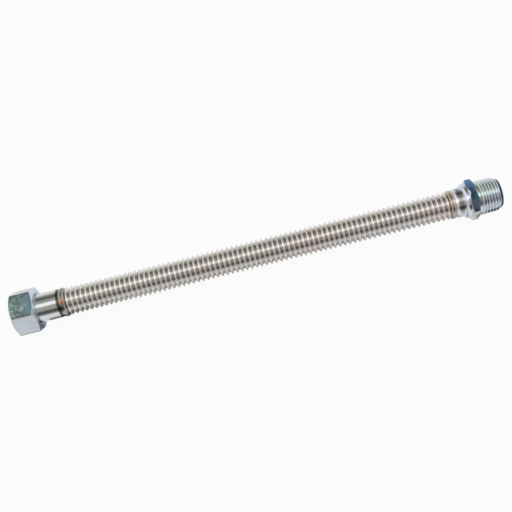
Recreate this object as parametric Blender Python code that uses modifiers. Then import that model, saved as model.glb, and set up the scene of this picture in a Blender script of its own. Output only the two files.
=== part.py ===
"""Stainless flexible hose for water or gas, about 305 mm over all.

A thin tube with ring corrugations joins two 1/2 in pipe ends. At one end a hexagon nut
swivels on a smooth tail and is sealed by a flat washer. At the other end a hexagon fitting
carries a male taper thread. A welded ring closes the tube onto each end.
The hose lies level along +X, on a flat of the nut and on a corner of the fitting's hexagon.
Each turned piece is modelled with its local +Z along the hose, from the nut to the male end.
"""

import math

import bmesh
import bpy
from mathutils import Matrix

MM = 0.001

# Shared by both ends
CLEARANCE = 0.3 * MM  # between pieces that seat on each other or turn in each other
BORE_RADIUS = 6.4 * MM  # waterway, the same all along the hose
PIPE_THREAD_RADIUS = 10.4775 * MM  # over the crests of a 1/2 in pipe thread
HEX_CHAMFER = math.radians(30)  # slope of the cone that takes off a hexagon's corners

# Swivel nut
NUT_WALL = 2.2225 * MM  # from the thread's crests to the middle of a flat
NUT_LENGTH = 15.1 * MM
NUT_FACE_INSET = 0.5 * MM  # from a flat in to the circle that the chamfer leaves on an end
NUT_LIP = 2.2 * MM  # inward lip at the back, which draws the tail's flange forward
NUT_COUNTERSINK = 0.6 * MM

# Tail, the smooth sleeve that the nut turns on
TAIL_WALL = 2.35 * MM
TAIL_SHOWN = 14.9 * MM  # from the nut's back to the weld ring
TAIL_TAPER_LENGTH = 1.3 * MM  # cone at the tail's end, down to the weld ring
TAIL_TAPER_DEPTH = 0.6 * MM
FLANGE_PLAY = 0.58 * MM  # between the flange's rim and the nut's socket
FLANGE_THICKNESS = 1.6 * MM

# Flat sealing washer
WASHER_THICKNESS = 2.0 * MM
WASHER_PLAY = 0.25 * MM  # between its rim and the nut's socket

# Corrugated tube
TUBE_WALL = 0.3 * MM
CONVOLUTION_DEPTH = 1.65 * MM
CONVOLUTION_PITCH = 3.09 * MM
CONVOLUTION_COUNT = 78

# Weld rings over the plain ends of the tube
RING_LENGTH = 2.4 * MM
NUT_END_RING_RISE = 0.5 * MM  # above the tube's crests
MALE_END_RING_RISE = 0.25 * MM
RING_CROWN = 0.35 * MM  # how far the bead bulges above its own edges

# Male fitting
COLLAR_WALL = 2.5 * MM
COLLAR_LENGTH = 5.6 * MM
COLLAR_CHAMFER = 0.9 * MM
SHOULDER_LENGTH = 2.84 * MM  # rounded step from the collar up to the hexagon's back face
HEX_STEP = 0.5225 * MM  # from the thread's nominal crests out to the middle of a flat
HEX_LENGTH = 5.2 * MM
HEX_FACE_INSET = 0.05 * MM  # from a flat in to the circle that the chamfers leave
NECK_DEPTH = 0.58 * MM  # below the thread's nominal crests
NECK_LENGTH = 2.0 * MM
SPIGOT_LENGTH = 12.8 * MM
SPIGOT_LEAD_LENGTH = 3.3 * MM
SPIGOT_LEAD_DEPTH = 1.7 * MM
THREAD_GAUGE_LENGTH = 8.2 * MM  # from the end to where the thread has its nominal radius
THREAD_TAPER = 1 / 32  # growth of the radius along the thread, 1 in 16 on the diameter

# Sides of the turned surfaces
TURNED_SIDES = 40
TUBE_SIDES = 16
BEAD_STEPS = 4
SHOULDER_STEPS = 5

# Radii that follow from the sizes above
NUT_ACROSS_FLATS = 2 * (PIPE_THREAD_RADIUS + NUT_WALL)
TAIL_RADIUS = BORE_RADIUS + TAIL_WALL
FLANGE_RADIUS = PIPE_THREAD_RADIUS - FLANGE_PLAY
FLANK_SLOPE = math.atan2(CONVOLUTION_DEPTH, CONVOLUTION_PITCH / 2)
RADIAL_WALL = TUBE_WALL / math.cos(FLANK_SLOPE)
ROOT_RADIUS = BORE_RADIUS + RADIAL_WALL
CREST_RADIUS = ROOT_RADIUS + CONVOLUTION_DEPTH
COLLAR_RADIUS = BORE_RADIUS + COLLAR_WALL
HEX_ACROSS_FLATS = 2 * (PIPE_THREAD_RADIUS + HEX_STEP)
HEX_CORNER_RADIUS = HEX_ACROSS_FLATS / math.sqrt(3)
NECK_RADIUS = PIPE_THREAD_RADIUS - NECK_DEPTH

# Stations along the hose, from the nut's open face
FLANGE_BACK = NUT_LENGTH - NUT_LIP - CLEARANCE
FLANGE_FRONT = FLANGE_BACK - FLANGE_THICKNESS
WASHER_BACK = FLANGE_FRONT - CLEARANCE
WASHER_FRONT = WASHER_BACK - WASHER_THICKNESS
TAIL_END = NUT_LENGTH + TAIL_SHOWN
TUBE_START = TAIL_END + CLEARANCE
FIRST_ROOT = TUBE_START + RING_LENGTH + CLEARANCE
LAST_ROOT = FIRST_ROOT + CONVOLUTION_COUNT * CONVOLUTION_PITCH
TUBE_END = LAST_ROOT + CLEARANCE + RING_LENGTH
FITTING_START = TUBE_END + CLEARANCE
COLLAR_END = FITTING_START + COLLAR_LENGTH
HEX_BACK = COLLAR_END + SHOULDER_LENGTH
HEX_FRONT = HEX_BACK + HEX_LENGTH
SPIGOT_START = HEX_FRONT + NECK_LENGTH
MALE_END = SPIGOT_START + SPIGOT_LENGTH

AXIS_HEIGHT = max(NUT_ACROSS_FLATS / 2, HEX_CORNER_RADIUS)


def clear_scene():
    for old in list(bpy.data.objects):
        bpy.data.objects.remove(old, do_unlink=True)


def new_collection(name, is_helper=False):
    collection = bpy.data.collections.new(name)
    collection.hide_render = is_helper
    bpy.context.scene.collection.children.link(collection)
    return collection


def metal(name, colour, roughness, metallic=1.0):
    material = bpy.data.materials.new(name)
    material.use_nodes = True
    shader = material.node_tree.nodes["Principled BSDF"]
    shader.inputs["Base Color"].default_value = (*colour, 1.0)
    shader.inputs["Roughness"].default_value = roughness
    shader.inputs["Metallic"].default_value = metallic
    material.diffuse_color = (*colour, 1.0)
    return material


def axis_empty(name, station=0.0, parent=None):
    """An empty on the hose's centreline, whose local +Z points along the hose."""
    empty = bpy.data.objects.new(name, None)
    empty.empty_display_size = 0.02
    parts.objects.link(empty)
    if parent is None:
        empty.location = (-MALE_END / 2, 0.0, AXIS_HEIGHT)
        empty.rotation_euler = (0.0, math.pi / 2, 0.0)
    else:
        empty.parent = parent
        empty.location = (0.0, 0.0, station)
    return empty


def turned(name, outline, sides, material, parent):
    """A closed outline of (radius, station) points, turned round the hose's centreline.

    The outline runs along the outside towards the male end and comes back along the bore.
    The Screw modifier needs it the other way round for its faces to point outwards.
    """
    ring = [(radius, 0.0, station) for radius, station in reversed(outline)]
    mesh = bpy.data.meshes.new(name)
    mesh.from_pydata(ring, [(i, (i + 1) % len(ring)) for i in range(len(ring))], [])
    mesh.materials.append(material)
    piece = bpy.data.objects.new(name, mesh)
    parts.objects.link(piece)
    piece.parent = parent
    screw = piece.modifiers.new("Turn", "SCREW")
    screw.axis = "Z"
    screw.steps = sides
    screw.render_steps = sides
    screw.use_merge_vertices = False
    screw.use_smooth_shade = True
    return piece


def hexagon_bar(name, across_flats, start, end, corner_angle, parent):
    """A hexagonal bar along the hose. A corner_angle of 0 points one corner straight down."""
    mesh = bpy.data.meshes.new(name)
    shape = bmesh.new()
    bmesh.ops.create_cone(
        shape,
        cap_ends=True,
        segments=6,
        radius1=across_flats / math.sqrt(3),
        radius2=across_flats / math.sqrt(3),
        depth=end - start,
        matrix=Matrix.Translation((0.0, 0.0, (start + end) / 2)),
    )
    corner = max(shape.verts, key=lambda vertex: vertex.co.x)
    to_corner = math.atan2(corner.co.y, corner.co.x)
    turn = Matrix.Rotation(corner_angle - to_corner, 4, "Z")
    bmesh.ops.transform(shape, matrix=turn, verts=shape.verts)
    shape.to_mesh(mesh)
    shape.free()
    bar = bpy.data.objects.new(name, mesh)
    cutters.objects.link(bar)
    bar.parent = parent
    bar.hide_render = True
    bar.display_type = "WIRE"
    return bar


def keep_inside(piece, bar):
    """Mills the turned piece down to the hexagonal bar."""
    cut = piece.modifiers.new("Hexagon", "BOOLEAN")
    cut.operation = "INTERSECT"
    cut.solver = "EXACT"
    cut.object = bar


def swivel_nut(parent, material):
    """Hexagon nut: threaded socket at the front, lip round the tail at the back."""
    corner_radius = NUT_ACROSS_FLATS / math.sqrt(3)
    blank_radius = corner_radius + CLEARANCE
    face_radius = NUT_ACROSS_FLATS / 2 - NUT_FACE_INSET
    cone_length = (blank_radius - face_radius) * math.tan(HEX_CHAMFER)
    lip_front = NUT_LENGTH - NUT_LIP
    lip_radius = TAIL_RADIUS + CLEARANCE
    outline = [
        (face_radius, 0.0),
        (blank_radius, cone_length),
        (blank_radius, NUT_LENGTH - cone_length),
        (face_radius, NUT_LENGTH),
        (lip_radius + NUT_COUNTERSINK, NUT_LENGTH),
        (lip_radius, NUT_LENGTH - NUT_COUNTERSINK),
        (lip_radius, lip_front),
        (PIPE_THREAD_RADIUS, lip_front),
        (PIPE_THREAD_RADIUS, NUT_COUNTERSINK),
        (PIPE_THREAD_RADIUS + NUT_COUNTERSINK, 0.0),
    ]
    nut = turned("swivel_nut", outline, TURNED_SIDES, material, parent)
    margin = NUT_LENGTH / 4
    half_side = math.radians(30)
    bar = hexagon_bar(
        "nut_hexagon", NUT_ACROSS_FLATS, -margin, NUT_LENGTH + margin, half_side, parent
    )
    keep_inside(nut, bar)
    return nut


def sealing_washer(parent, material):
    """Flat rubber ring between the tail's flange and the end of the pipe."""
    outer = PIPE_THREAD_RADIUS - WASHER_PLAY
    outline = [
        (outer, WASHER_FRONT),
        (outer, WASHER_BACK),
        (BORE_RADIUS, WASHER_BACK),
        (BORE_RADIUS, WASHER_FRONT),
    ]
    return turned("sealing_washer", outline, TURNED_SIDES, material, parent)


def nut_tail(parent, material):
    """Smooth sleeve with the flange that the nut's lip bears on."""
    outline = [
        (FLANGE_RADIUS, FLANGE_FRONT),
        (FLANGE_RADIUS, FLANGE_BACK),
        (TAIL_RADIUS, FLANGE_BACK),
        (TAIL_RADIUS, TAIL_END - TAIL_TAPER_LENGTH),
        (TAIL_RADIUS - TAIL_TAPER_DEPTH, TAIL_END),
        (BORE_RADIUS, TAIL_END),
        (BORE_RADIUS, FLANGE_FRONT),
    ]
    return turned("nut_tail", outline, TURNED_SIDES, material, parent)


def corrugated_tube(parent, material):
    """Thin wall folded into rings, with a plain end under each weld ring."""
    outside = [(ROOT_RADIUS, TUBE_START), (ROOT_RADIUS, FIRST_ROOT)]
    for index in range(CONVOLUTION_COUNT):
        root = FIRST_ROOT + index * CONVOLUTION_PITCH
        outside.append((CREST_RADIUS, root + CONVOLUTION_PITCH / 2))
        outside.append((ROOT_RADIUS, root + CONVOLUTION_PITCH))
    outside.append((ROOT_RADIUS, TUBE_END))
    inside = [(radius - RADIAL_WALL, station) for radius, station in reversed(outside)]
    return turned("corrugated_tube", outside + inside, TUBE_SIDES, material, parent)


def weld_ring(name, start, rise, parent, material):
    """Crowned bead round the tube's plain end, against the fitting."""
    edge = CREST_RADIUS + rise - RING_CROWN
    outline = []
    for step in range(BEAD_STEPS + 1):
        along = step / BEAD_STEPS
        bulge = RING_CROWN * math.sin(math.pi * along)
        outline.append((edge + bulge, start + along * RING_LENGTH))
    seat = ROOT_RADIUS + CLEARANCE
    outline += [(seat, start + RING_LENGTH), (seat, start)]
    return turned(name, outline, TURNED_SIDES, material, parent)


def thread_radius(station):
    """Crest radius of the taper thread at a station of the spigot."""
    from_end = MALE_END - station
    return PIPE_THREAD_RADIUS + (from_end - THREAD_GAUGE_LENGTH) * THREAD_TAPER


def male_fitting(parent, material):
    """Collar, shoulder, hexagon, neck and tapered spigot, turned from one bar."""
    blank_radius = HEX_CORNER_RADIUS + CLEARANCE
    face_radius = HEX_ACROSS_FLATS / 2 - HEX_FACE_INSET
    cone_length = (blank_radius - face_radius) * math.tan(HEX_CHAMFER)
    lead_start = MALE_END - SPIGOT_LEAD_LENGTH
    shoulder = []
    for step in range(SHOULDER_STEPS + 1):
        turn = math.pi / 2 * step / SHOULDER_STEPS
        rise = (face_radius - COLLAR_RADIUS) * math.sin(turn)
        shoulder.append((COLLAR_RADIUS + rise, HEX_BACK - SHOULDER_LENGTH * math.cos(turn)))
    outline = [
        (COLLAR_RADIUS - COLLAR_CHAMFER, FITTING_START),
        (COLLAR_RADIUS, FITTING_START + COLLAR_CHAMFER),
        *shoulder,
        (blank_radius, HEX_BACK + cone_length),
        (blank_radius, HEX_FRONT - cone_length),
        (face_radius, HEX_FRONT),
        (NECK_RADIUS, HEX_FRONT),
        (NECK_RADIUS, SPIGOT_START - NECK_DEPTH),
        (thread_radius(SPIGOT_START), SPIGOT_START),
        (thread_radius(lead_start), lead_start),
        (thread_radius(MALE_END) - SPIGOT_LEAD_DEPTH, MALE_END),
        (BORE_RADIUS, MALE_END),
        (BORE_RADIUS, FITTING_START),
    ]
    fitting = turned("male_fitting", outline, TURNED_SIDES, material, parent)
    margin = COLLAR_LENGTH
    bar = hexagon_bar(
        "fitting_hexagon", HEX_ACROSS_FLATS, FITTING_START - margin, MALE_END + margin, 0.0, parent
    )
    keep_inside(fitting, bar)
    return fitting


def settle(piece):
    """Makes the modifiers' result the piece's own mesh, smooth between its sharp edges."""
    graph = bpy.context.evaluated_depsgraph_get()
    mesh = bpy.data.meshes.new_from_object(piece.evaluated_get(graph))
    piece.modifiers.clear()
    piece.data = mesh
    mesh.name = piece.name
    mesh.shade_smooth()
    mesh.set_sharp_from_angle(angle=math.radians(25))


clear_scene()
parts = new_collection("stainless_flexible_hose")
cutters = new_collection("cutters", is_helper=True)

zinc_plate = metal("zinc_plate", (0.62, 0.66, 0.69), 0.28)
stainless = metal("stainless", (0.72, 0.69, 0.64), 0.22)
bright_steel = metal("bright_steel", (0.78, 0.78, 0.77), 0.12)
weld_tint = metal("weld_tint", (0.55, 0.40, 0.29), 0.35)
black_rubber = metal("black_rubber", (0.03, 0.03, 0.03), 0.75, metallic=0.0)

hose_axis = axis_empty("hose_axis")
nut_spin = axis_empty("nut_spin", parent=hose_axis)

pieces = [
    swivel_nut(nut_spin, zinc_plate),
    sealing_washer(nut_spin, black_rubber),
    nut_tail(hose_axis, bright_steel),
    weld_ring("weld_ring_nut_end", TUBE_START, NUT_END_RING_RISE, hose_axis, weld_tint),
    corrugated_tube(hose_axis, stainless),
    weld_ring(
        "weld_ring_male_end", TUBE_END - RING_LENGTH, MALE_END_RING_RISE, hose_axis, weld_tint
    ),
    male_fitting(hose_axis, zinc_plate),
]
bpy.context.view_layer.update()
for piece in pieces:
    settle(piece)
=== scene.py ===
"""A stainless flexible hose for water or gas, dressed for its picture.

A thin corrugated tube joins a smooth tail with a swivelling hexagon nut to a hexagon fitting
with a male taper pipe thread. The hose lies straight along +X on a pale floor.
"""

import math

import bpy
from mathutils import Matrix, Vector


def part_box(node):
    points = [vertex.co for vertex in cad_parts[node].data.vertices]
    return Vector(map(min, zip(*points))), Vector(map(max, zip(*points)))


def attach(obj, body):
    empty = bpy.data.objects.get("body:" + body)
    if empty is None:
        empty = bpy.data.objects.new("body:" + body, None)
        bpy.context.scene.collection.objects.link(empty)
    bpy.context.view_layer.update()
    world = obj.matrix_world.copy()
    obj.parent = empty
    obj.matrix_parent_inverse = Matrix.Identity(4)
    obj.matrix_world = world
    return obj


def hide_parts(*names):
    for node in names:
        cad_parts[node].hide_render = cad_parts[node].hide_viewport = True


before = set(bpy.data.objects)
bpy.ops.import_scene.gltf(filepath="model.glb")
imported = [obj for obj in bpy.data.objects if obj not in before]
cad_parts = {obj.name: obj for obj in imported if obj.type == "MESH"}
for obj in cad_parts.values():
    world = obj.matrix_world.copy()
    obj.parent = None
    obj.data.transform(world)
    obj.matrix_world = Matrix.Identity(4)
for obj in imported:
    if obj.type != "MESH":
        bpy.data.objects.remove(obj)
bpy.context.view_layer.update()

MM = 0.001


# The view of the photograph: from 69 degrees above the floor, almost square to the hose, and
# tipped so that the hose climbs to the right. The aim lies on the level of its centreline.
CAMERA_LENS_MM = 54.85
CAMERA_AZIMUTH = math.radians(3.725)
CAMERA_ELEVATION = math.radians(69.013)
CAMERA_ROLL = math.radians(-17.616)
CAMERA_DISTANCE = 478.4 * MM
CAMERA_CLIP_START = 10 * MM
tube_low, tube_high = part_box("corrugated_tube")
AXIS_HEIGHT = (tube_low.z + tube_high.z) / 2
CAMERA_AIM = Vector((0.04 * MM, -1.41 * MM, AXIS_HEIGHT))

camera_data = bpy.data.cameras.new("camera")
camera_data.lens = CAMERA_LENS_MM
camera_data.clip_start = CAMERA_CLIP_START
camera = bpy.data.objects.new("camera", camera_data)
bpy.context.scene.collection.objects.link(camera)
bpy.context.scene.camera = camera
towards_camera = Vector((
    math.sin(CAMERA_AZIMUTH) * math.cos(CAMERA_ELEVATION),
    -math.cos(CAMERA_AZIMUTH) * math.cos(CAMERA_ELEVATION),
    math.sin(CAMERA_ELEVATION),
))
camera.matrix_world = (
    Matrix.Translation(CAMERA_AIM + towards_camera * CAMERA_DISTANCE)
    @ Matrix.Rotation(CAMERA_AZIMUTH, 4, "Z")
    @ Matrix.Rotation(math.pi / 2 - CAMERA_ELEVATION, 4, "X")
    @ Matrix.Rotation(CAMERA_ROLL, 4, "Z")
)
bpy.context.scene.view_settings.view_transform = "Standard"


# The studio: a white table, a long strip softbox over the hose, and a room with two dark
# bands of wall along it. Past the ends of the hose the room is white.
WHITE = (1.0, 1.0, 1.0, 1.0)
FLOOR_SIDE = 6.0
FLOOR_COLOUR = (0.86, 0.86, 0.86, 1.0)
FLOOR_GLOW_TO_CAMERA = 0.93
SOFTBOX_LENGTH = 3.0
SOFTBOX_WIDTH = 0.46
SOFTBOX_HEIGHT = 1.0
SOFTBOX_ACROSS = -0.035
SOFTBOX_WATTS = 3.0
ROOM_LIGHT = (
    # angle up from the front horizon in degrees, colour of the light from there
    (0, (0.58, 0.59, 0.60)),
    (5, (0.31, 0.31, 0.315)),
    (11, (0.16, 0.16, 0.163)),
    (18, (0.128, 0.121, 0.123)),
    (27, (0.064, 0.058, 0.059)),
    (35, (0.122, 0.116, 0.114)),
    (43, (0.365, 0.355, 0.345)),
    (60, (0.42, 0.415, 0.41)),
    (104, (0.44, 0.44, 0.44)),
    (120, (0.37, 0.375, 0.38)),
    (129, (0.225, 0.235, 0.225)),
    (137, (0.110, 0.122, 0.090)),
    (146, (0.108, 0.122, 0.086)),
    (155, (0.190, 0.205, 0.160)),
    (166, (0.380, 0.395, 0.340)),
    (180, (0.62, 0.62, 0.58)),
)
# The light from past the ends grows with how far a direction leans along the hose. Low in
# front it is weaker, and it rises between two heights.
END_LIGHT = (0.92, 0.96, 1.0, 1.0)
END_LIGHT_FROM = 0.27
END_LIGHT_FULL = 0.66
END_LIGHT_LOW = 0.5
END_LIGHT_RISES_FROM_DEGREES = 45
END_LIGHT_RISES_TO_DEGREES = 81
# The table as the metal mirrors it, with a painted shadow of the hose on it at the front,
# which takes another shape under the male thread.
TABLE_CLEAR = (0.86, 0.86, 0.86, 1.0)
TABLE_TINT = (0.97, 0.99, 1.03, 1.0)
TABLE_ACROSS = (
    # millimetres from under the centreline, towards the back, and how bright it is there
    (-60, 0.86),
    (-33, 0.90),
    (-27, 0.84),
    (-21, 0.48),
    (-16.5, 0.20),
    (-11, 0.10),
    (-6.5, 0.14),
    (-3, 0.40),
    (0, 0.70),
    (14, 0.86),
    (60, 0.88),
)
THREAD_SHADOW_FROM = 137 * MM
THREAD_SHADOW_FULL = 141 * MM
TABLE_UNDER_THREAD = (
    # the same, under the male thread
    (-20, 0.86),
    (-17.5, 0.72),
    (-15, 0.12),
    (-6, 0.08),
    (-2, 0.20),
    (2, 0.70),
    (14, 0.86),
)
SHADOW_ALONG = (
    # millimetres from the hose's middle, towards the male end, and how strong the shadow is
    (-137, 0.1),
    (-135, 1.0),
    (-130, 1.0),
    (-115, 0.95),
    (-80, 0.55),
    (124, 0.55),
    (129, 0.2),
    (137.5, 0.2),
    (140.5, 1.0),
)


def add(tree, kind, inputs=None, **settings):
    """A new node. Each input is given by its name or number, as a value or another's socket."""
    node = tree.nodes.new(kind)
    for name, value in settings.items():
        setattr(node, name, value)
    for key, value in (inputs or {}).items():
        if isinstance(value, bpy.types.NodeSocket):
            tree.links.new(value, node.inputs[key])
        else:
            node.inputs[key].default_value = value
    return node


def calc(tree, operation, *values):
    """The result of one Math node."""
    node = add(tree, "ShaderNodeMath", dict(enumerate(values)), operation=operation)
    return node.outputs[0]


def parts(tree, point):
    """The X, Y and Z of a point or a direction."""
    return add(tree, "ShaderNodeSeparateXYZ", {0: point}).outputs


def ramp(tree, value, stops):
    """The colour that stops of (place from 0 to 1, colour) give for a value."""
    node = add(tree, "ShaderNodeValToRGB", {"Fac": value})
    elements = node.color_ramp.elements
    while len(elements) < len(stops):
        elements.new(0.5)
    for element, (place, colour) in zip(elements, stops):
        element.position = place
        element.color = (*colour, 1.0)
    return node.outputs["Color"]


def mix(tree, factor, low, high, blend="MIX"):
    """The colour that a share of a second colour makes of a first."""
    inputs = {0: factor, 6: low, 7: high}
    node = add(tree, "ShaderNodeMix", inputs, data_type="RGBA", blend_type=blend)
    return node.outputs[2]


def share_of(tree, value, start, end, most=1.0):
    """How far a value has come from a start to an end, eased, times the most it may be."""
    return add(tree, "ShaderNodeMapRange", {
        "Value": value, "From Min": start, "From Max": end, "To Max": most,
    }, interpolation_type="SMOOTHSTEP").outputs[0]


def stops_across(tree, place, stops):
    """The colour or grey that stops of (millimetres, shade) give for a place in metres."""
    first, last = stops[0][0], stops[-1][0]
    share = add(tree, "ShaderNodeMapRange", {
        "Value": place, "From Min": first * MM, "From Max": last * MM,
    }).outputs[0]
    colours = []
    for at, shade in stops:
        colour = shade if isinstance(shade, tuple) else 3 * (shade,)
        colours.append(((at - first) / (last - first), colour))
    return ramp(tree, share, colours)


def light_room():
    """A world of light by angle: up from the front over to the back, and towards the ends."""
    world = bpy.data.worlds.new("room")
    world.use_nodes = True
    bpy.context.scene.world = world
    tree = world.node_tree
    tree.nodes.clear()
    part = parts(tree, add(tree, "ShaderNodeTexCoord").outputs["Generated"])
    angle = calc(tree, "ARCTAN2", part["Z"], calc(tree, "MULTIPLY", part["Y"], -1.0))
    half_turns = calc(tree, "DIVIDE", angle, math.pi)
    wall = ramp(tree, half_turns, [(degrees / 180, colour) for degrees, colour in ROOM_LIGHT])
    towards_end = share_of(
        tree, calc(tree, "ABSOLUTE", part["X"]), END_LIGHT_FROM, END_LIGHT_FULL
    )
    higher = share_of(
        tree, half_turns, END_LIGHT_RISES_FROM_DEGREES / 180, END_LIGHT_RISES_TO_DEGREES / 180,
        1 - END_LIGHT_LOW,
    )
    end_share = calc(tree, "MULTIPLY", towards_end, calc(tree, "ADD", higher, END_LIGHT_LOW))
    sky = mix(tree, end_share, wall, END_LIGHT)
    is_seen = add(tree, "ShaderNodeLightPath").outputs["Is Camera Ray"]
    light = add(tree, "ShaderNodeBackground", {"Color": mix(tree, is_seen, sky, WHITE)})
    add(tree, "ShaderNodeOutputWorld", {"Surface": light.outputs[0]})


def lay_floor():
    """A white table, which the metal mirrors with a painted shadow of the hose on it."""
    half = FLOOR_SIDE / 2
    mesh = bpy.data.meshes.new("floor")
    corners = [(-half, -half, 0), (half, -half, 0), (half, half, 0), (-half, half, 0)]
    mesh.from_pydata(corners, [], [(0, 1, 2, 3)])
    floor = bpy.data.objects.new("floor", mesh)
    bpy.context.scene.collection.objects.link(floor)
    material = bpy.data.materials.new("white_table")
    material.use_nodes = True
    mesh.materials.append(material)
    tree = material.node_tree
    tree.nodes.clear()
    path = add(tree, "ShaderNodeLightPath").outputs
    part = parts(tree, add(tree, "ShaderNodeTexCoord").outputs["Object"])
    to_camera = calc(tree, "MULTIPLY", path["Is Camera Ray"], FLOOR_GLOW_TO_CAMERA)
    glow_share = calc(tree, "ADD", path["Is Glossy Ray"], to_camera)
    under_thread = share_of(tree, part["X"], THREAD_SHADOW_FROM, THREAD_SHADOW_FULL)
    across = mix(
        tree, under_thread, stops_across(tree, part["Y"], TABLE_ACROSS),
        stops_across(tree, part["Y"], TABLE_UNDER_THREAD),
    )
    shadowed = stops_across(tree, part["X"], SHADOW_ALONG)
    table = mix(tree, shadowed, TABLE_CLEAR, across)
    tinted = mix(tree, 1.0, table, TABLE_TINT, blend="MULTIPLY")
    seen = mix(tree, path["Is Glossy Ray"], WHITE, tinted)
    paint = add(tree, "ShaderNodeBsdfDiffuse", {"Color": FLOOR_COLOUR})
    glow = add(tree, "ShaderNodeEmission", {"Color": seen})
    both = add(
        tree, "ShaderNodeMixShader", {0: glow_share, 1: paint.outputs[0], 2: glow.outputs[0]}
    )
    add(tree, "ShaderNodeOutputMaterial", {"Surface": both.outputs[0]})
    return floor


def hang_softbox():
    """The strip softbox, which the camera doesn't see."""
    light = bpy.data.lights.new("strip_softbox", "AREA")
    light.shape = "RECTANGLE"
    light.size = SOFTBOX_LENGTH
    light.size_y = SOFTBOX_WIDTH
    light.energy = SOFTBOX_WATTS
    softbox = bpy.data.objects.new("strip_softbox", light)
    softbox.location = (0, SOFTBOX_ACROSS, SOFTBOX_HEIGHT)
    softbox.visible_camera = False
    bpy.context.scene.collection.objects.link(softbox)


light_room()
lay_floor()
hang_softbox()


# The corrugated tube: 0.3 mm stainless strip, welded into a tube and pressed into rings.
# It came bright from its annealing, with faint straw, green and pink films on the metal.
TUBE_CUFF = 2.7 * MM
TUBE_RINGS = 78
TUBE_WALL_ACROSS = 0.44 * MM  # measured out from the centreline, so across the sloping flanks
TUBE_RING_DEPTH = 1.65 * MM
TUBE_RING_NARROWNESS = 1.05
TUBE_OUTER_STEPS = 10
TUBE_INNER_STEPS = 5
TUBE_SIDES = 80
TUBE_CREST_RADIUS = tube_high.z - AXIS_HEIGHT
TUBE_ROOT_RADIUS = TUBE_CREST_RADIUS - TUBE_RING_DEPTH
TUBE_LENGTH = tube_high.x - tube_low.x
TUBE_PITCH = (TUBE_LENGTH - 2 * TUBE_CUFF) / TUBE_RINGS
TUBE_TINTS = (
    (0.20, (0.760, 0.780, 0.700)),
    (0.36, (0.830, 0.800, 0.730)),
    (0.50, (0.800, 0.770, 0.740)),
    (0.62, (0.860, 0.770, 0.700)),
    (0.80, (0.800, 0.740, 0.760)),
)
TUBE_TINT_LEAN = 0.9
TUBE_TINT_SPREAD = (0.2, 0.8)
TUBE_CLOUD_SCALE = 75
TUBE_CLOUD_STRETCH = (1, 0.3, 0.3)
TUBE_EACH_RING_SCALE = 340
TUBE_EACH_RING_STRETCH = (1, 0.1, 0.1)
# Painted shade: the roots of the rings are coloured darker, for the shade deep between them.
TUBE_ROOT_SHADE_COLOUR = (0.57, 0.525, 0.495, 1.0)
TUBE_ROOT_SHADE_SHARE = 0.52
TUBE_ROUGHNESS = (0.10, 0.18)
TUBE_STAIN_SCALE = 900
TUBE_DRAWN_SCALE = 2600
TUBE_DRAWN_STRETCH = (1, 0.2, 0.2)
TUBE_DRAWN_DEPTH = 0.006 * MM


def new_finish(name, metallic=1.0):
    """A material with only its shader and output. Gives it, its tree and its shader."""
    material = bpy.data.materials.new(name)
    material.use_nodes = True
    tree = material.node_tree
    shader = tree.nodes["Principled BSDF"]
    shader.inputs["Metallic"].default_value = metallic
    return material, tree, shader


def object_point(tree, stretch=(1, 1, 1), moved=(0, 0, 0)):
    """Object coordinates in metres, moved and then stretched along each axis."""
    point = add(tree, "ShaderNodeTexCoord").outputs["Object"]
    centred = add(tree, "ShaderNodeVectorMath", {0: point, 1: moved}, operation="ADD")
    node = add(
        tree, "ShaderNodeVectorMath", {0: centred.outputs[0], 1: stretch}, operation="MULTIPLY"
    )
    return node.outputs[0]


def length_of(tree, vector):
    """How long a vector is."""
    node = add(tree, "ShaderNodeVectorMath", {0: vector}, operation="LENGTH")
    return node.outputs["Value"]


def radius_from_axis(tree):
    """How far a point is from the hose's centreline, in metres."""
    return length_of(tree, object_point(tree, stretch=(0, 1, 1), moved=(0, 0, -AXIS_HEIGHT)))


def noise(tree, point, scale, detail=3.0, roughness=0.55):
    """Smooth noise around 0.5, of about so many clouds a metre."""
    node = add(
        tree,
        "ShaderNodeTexNoise",
        {"Vector": point, "Scale": scale, "Detail": detail, "Roughness": roughness},
    )
    return node.outputs[0]


def spread(tree, value, low, high):
    """A noise value, mostly from 0.3 to 0.7, spread between two others."""
    node = add(
        tree,
        "ShaderNodeMapRange",
        {"Value": value, "From Min": 0.3, "From Max": 0.7, "To Min": low, "To Max": high},
    )
    return node.outputs[0]


def halfway(tree, first, second):
    """The mean of two values."""
    return calc(tree, "MULTIPLY_ADD", first, 0.5, calc(tree, "MULTIPLY", second, 0.5))


def relief(tree, shader, height, depth):
    """Gives a shader the fine relief of a height from 0 to 1, that many metres deep."""
    bump = add(tree, "ShaderNodeBump", {"Height": height, "Strength": 1.0, "Distance": depth})
    tree.links.new(bump.outputs[0], shader.inputs["Normal"])


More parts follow.
